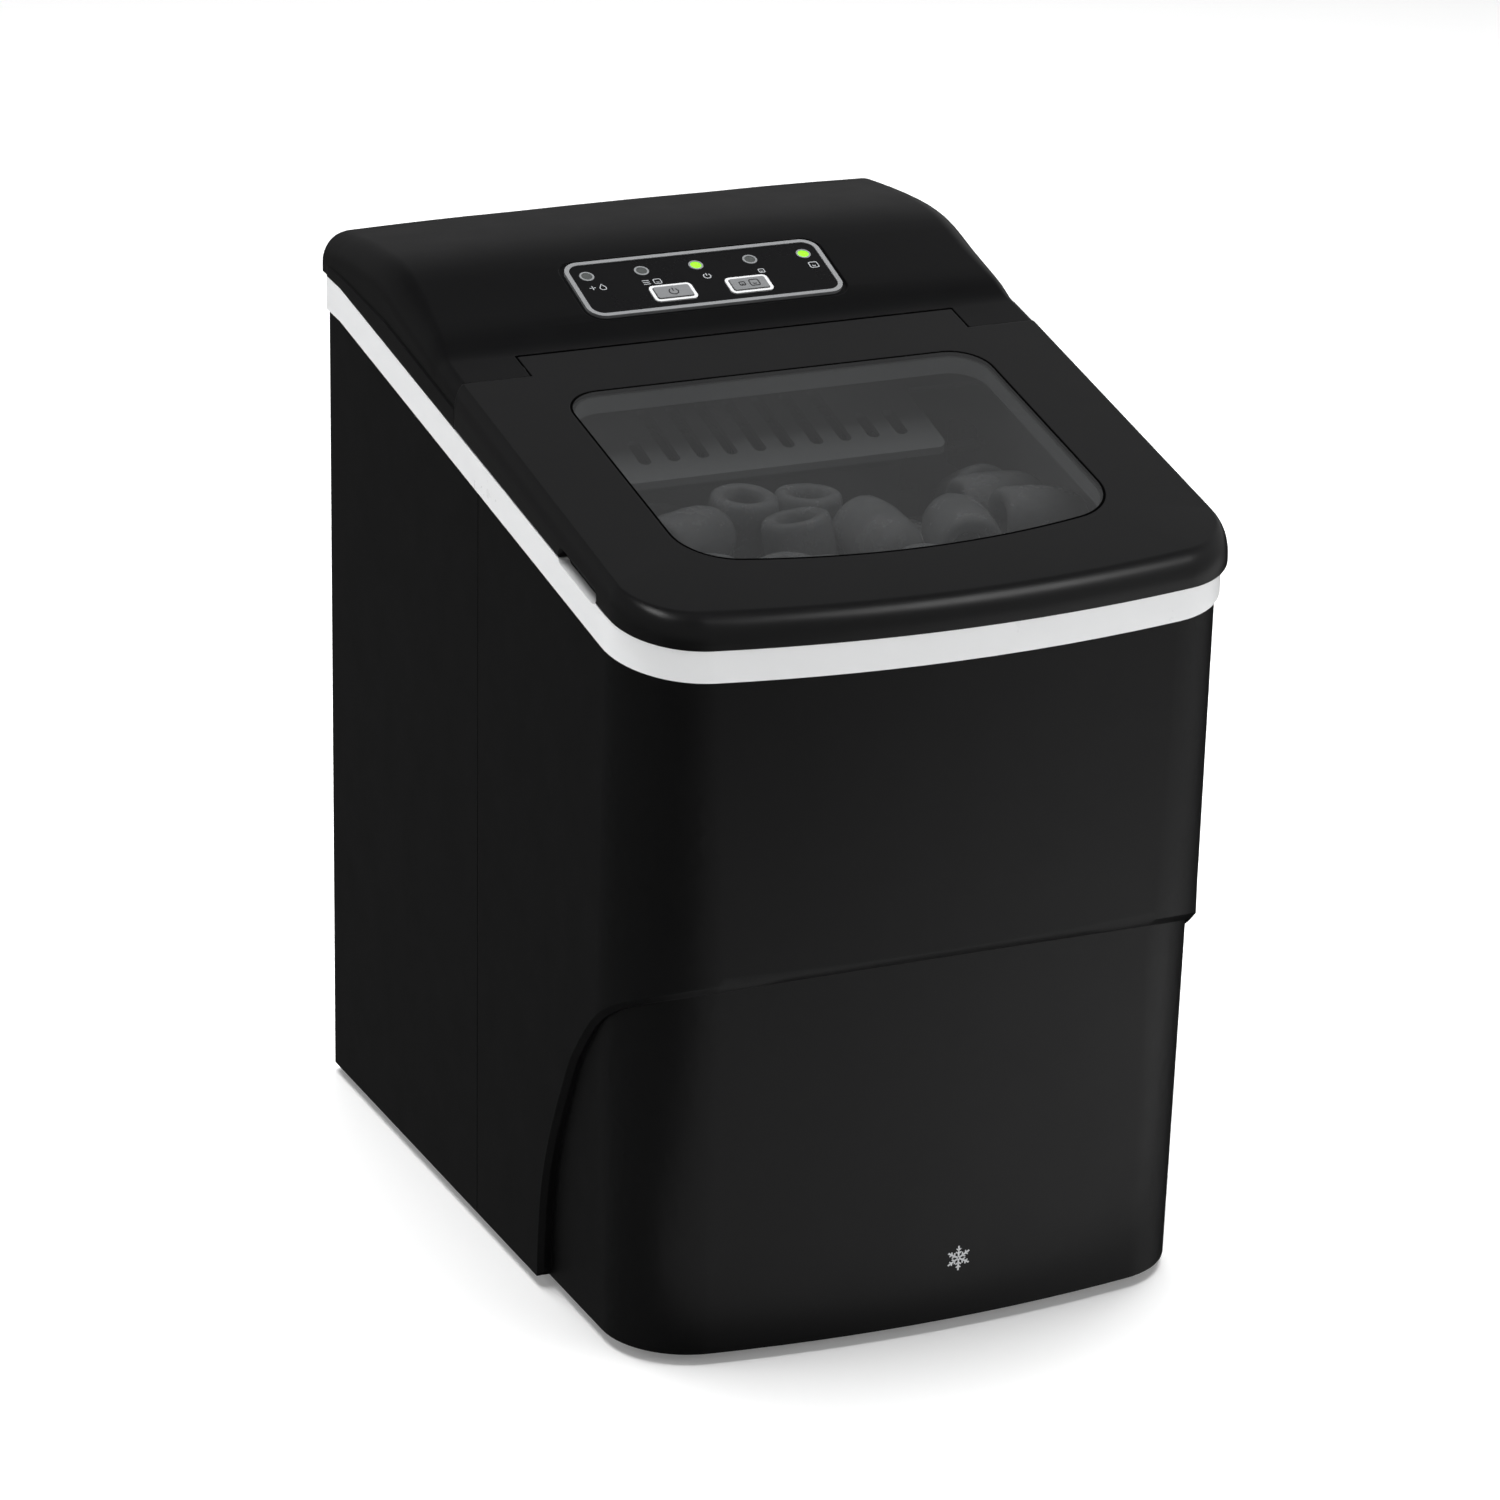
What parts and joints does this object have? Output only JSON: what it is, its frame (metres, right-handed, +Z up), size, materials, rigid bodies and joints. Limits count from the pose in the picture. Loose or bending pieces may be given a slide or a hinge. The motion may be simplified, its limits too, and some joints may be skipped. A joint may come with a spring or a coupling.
{
  "type": "ice maker",
  "caption": "Countertop bullet-ice maker: drafted plastic cabinet with a windowed hinged lid, lift-out basket, tilting water tray under a finger evaporator, and a compressor circuit.",
  "frame": {"origin": "centre of the bounding box on the plane the rubber feet rest on", "axes": "+Z up, +X to the right seen from the front, front faces -Y, rear grille faces +Y"},
  "size_m": [0.2248, 0.3038, 0.332],
  "materials": {
    "body_black": "satin moulded ABS with a fine spark texture",
    "lid_black": "satin moulded ABS",
    "band_white": "smooth white moulded ABS",
    "window_smoked": "smoked clear polycarbonate, polished",
    "panel_black": "printed polyester overlay, satin gloss",
    "panel_line": "thin grey moulded line",
    "button_grey": "dark grey key cap",
    "bezel_silver": "bright plated rim",
    "led_grey": "unlit tinted lens",
    "led_green": "lit green lens",
    "inner_white": "moulded pale grey liner",
    "basket_grey": "moulded translucent grey basket",
    "deflector_grey": "satin grey moulding",
    "foam": "expanded foam",
    "rubber_black": "soft moulded rubber",
    "hose_clear": "milky silicone hose",
    "steel": "zinc plated or ground steel",
    "nickel": "bright nickel plate",
    "copper": "drawn copper tube",
    "fin_aluminium": "mill finish fins",
    "compressor_black": "baked black enamel",
    "part_black": "plain black moulding",
    "part_white": "plain white moulding",
    "board_green": "solder-masked circuit board"
  },
  "bodies": {
    "cabinet": {"front_housing": "body_black", "rear_housing": "body_black", "housing_screws": "steel", "trim_band": "band_white", "base_tray": "part_black", "rubber_feet": "rubber_black", "top_hood": "body_black", "control_panel": "panel_black", "panel_frame": "panel_line", "button_bezels": "bezel_silver", "indicator_bezels": "bezel_silver", "indicator_lights_off": "led_grey", "indicator_lights_on": "led_green", "control_board": "board_green", "inner_tub": "inner_white", "tub_insulation": "foam", "ice_deflector": "deflector_grey", "evaporator": "nickel", "tray_motor": "part_white", "tray_bush": "part_white", "compressor": "compressor_black", "compressor_grommets": "rubber_black", "condenser": "fin_aluminium", "fan_shroud": "part_black", "fan_motor": "part_black", "filter_dryer": "copper", "hot_gas_valve": "steel", "refrigerant_tubes": "copper", "water_pump": "part_white", "pump_hose": "hose_clear", "drain_hose": "hose_clear", "drain_socket": "part_black", "cord_gland": "part_black", "water_level_sensor": "part_white", "ice_full_sensor": "part_black", "power_board": "board_green"},
    "lid": {"lid_frame": "lid_black", "lid_hinge_pins": "steel", "window_seal": "rubber_black", "lid_window": "window_smoked", "lid_inner_frame": "inner_white", "lid_screws": "steel", "lid_bumpers": "rubber_black"},
    "basket": {"ice_basket": "basket_grey"},
    "tray": {"water_tray": "inner_white", "tray_shaft": "steel"},
    "shovel": {"ice_shovel": "deflector_grey", "shovel_shaft": "steel"},
    "fan": {"fan_blade": "part_black"},
    "power_key": {"power_button": "button_grey"},
    "size_key": {"size_button": "button_grey"},
    "plug": {"drain_plug": "rubber_black"}
  },
  "joints": [
    {"name": "lid_hinge", "type": "hinge", "parent": "cabinet", "child": "lid", "pos_m": [0, 0.0294, 0.30528], "axis": [-1, 0, 0], "range_deg": [0, 100]},
    {"name": "basket_lift", "type": "slide", "parent": "cabinet", "child": "basket", "axis": [0, 0, 1], "range_m": [0, 0.008]},
    {"name": "tray_tilt", "type": "hinge", "parent": "cabinet", "child": "tray", "pos_m": [0, 0.0974, 0.25], "axis": [1, 0, 0], "range_deg": [0, 40]},
    {"name": "shovel_sweep", "type": "hinge", "parent": "cabinet", "child": "shovel", "pos_m": [0, 0.0254, 0.262], "axis": [1, 0, 0], "range_deg": [0, 17.8]},
    {"name": "fan_spin", "type": "hinge", "parent": "cabinet", "child": "fan", "pos_m": [0.054, 0.095, 0.076], "axis": [0, 1, 0], "continuous": true},
    {"name": "power_press", "type": "slide", "parent": "cabinet", "child": "power_key", "axis": [0, 0.3303, -0.9439], "range_m": [0, 0.001], "stiffness_N_per_m": 400},
    {"name": "size_press", "type": "slide", "parent": "cabinet", "child": "size_key", "axis": [0, 0.3303, -0.9439], "range_m": [0, 0.001], "stiffness_N_per_m": 400},
    {"name": "drain_pull", "type": "slide", "parent": "cabinet", "child": "plug", "axis": [0, 1, 0], "range_m": [0, 0.01]}
  ],
  "couplings": [
    {"joint": "shovel_sweep", "follows": "tray_tilt", "ratio": 0.444}
  ]
}
